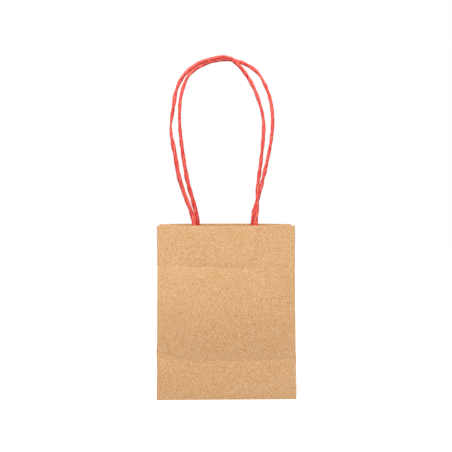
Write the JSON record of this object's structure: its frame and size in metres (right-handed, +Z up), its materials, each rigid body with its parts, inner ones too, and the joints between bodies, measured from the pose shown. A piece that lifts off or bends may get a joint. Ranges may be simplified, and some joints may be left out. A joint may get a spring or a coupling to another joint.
{
  "type": "paper gift bag",
  "caption": "Small upright paper gift bag with folded side gussets, a turned-over rim and two looped twisted-paper cord handles.",
  "frame": {"origin": "centre of the flat base, on the surface the bag stands on", "axes": "+Z up, front wall faces -Y, +X to the right seen from the front"},
  "size_m": [0.12, 0.06, 0.3034],
  "materials": {
    "kraft_paper": "matt, fine mottled fibre",
    "patch_paper": "matt",
    "red_paper_cord": "matt twisted paper"
  },
  "bodies": {
    "base": {"bottom_outer_flap": "kraft_paper", "bottom_inner_flap": "kraft_paper", "bottom_left_tuck": "kraft_paper", "bottom_right_tuck": "kraft_paper", "left_gusset_base_triangle": "kraft_paper", "right_gusset_base_triangle": "kraft_paper", "left_gusset_front_half": "kraft_paper", "left_gusset_front_hem": "kraft_paper", "left_gusset_back_half": "kraft_paper", "left_gusset_back_hem": "kraft_paper", "right_gusset_front_half": "kraft_paper", "right_gusset_front_hem": "kraft_paper", "right_gusset_back_half": "kraft_paper", "right_gusset_back_hem": "kraft_paper"},
    "front_wall": {"front_panel": "kraft_paper", "front_hem": "kraft_paper", "front_patch_backing": "patch_paper", "front_patch_cover": "patch_paper", "front_handle_left_end": "red_paper_cord", "front_handle_right_end": "red_paper_cord"},
    "back_wall": {"back_panel": "kraft_paper", "back_hem": "kraft_paper", "back_patch_backing": "patch_paper", "back_patch_cover": "patch_paper", "back_handle_left_end": "red_paper_cord", "back_handle_right_end": "red_paper_cord", "seam_lap": "kraft_paper"},
    "front_handle_loop": {"front_handle": "red_paper_cord"},
    "back_handle_loop": {"back_handle": "red_paper_cord"}
  },
  "joints": [
    {"name": "front_wall_fold", "type": "hinge", "parent": "base", "child": "front_wall", "pos_m": [0, -0.03, 0.0003], "axis": [1, 0, 0], "range_deg": [-4, 5.7], "deforming": ["left_gusset_front_half", "left_gusset_front_hem", "right_gusset_front_half", "right_gusset_front_hem"]},
    {"name": "back_wall_fold", "type": "hinge", "parent": "base", "child": "back_wall", "pos_m": [0, 0.03, 0.0003], "axis": [-1, 0, 0], "range_deg": [-4, 5.7], "deforming": ["left_gusset_back_half", "left_gusset_back_hem", "right_gusset_back_half", "right_gusset_back_hem"]},
    {"name": "front_handle_bend", "type": "hinge", "parent": "front_wall", "child": "front_handle_loop", "pos_m": [0, -0.01251, 0.15141], "axis": [1, 0, 0], "range_deg": [0, 85]},
    {"name": "back_handle_bend", "type": "hinge", "parent": "back_wall", "child": "back_handle_loop", "pos_m": [0, 0.01251, 0.15141], "axis": [-1, 0, 0], "range_deg": [0, 85]}
  ]
}
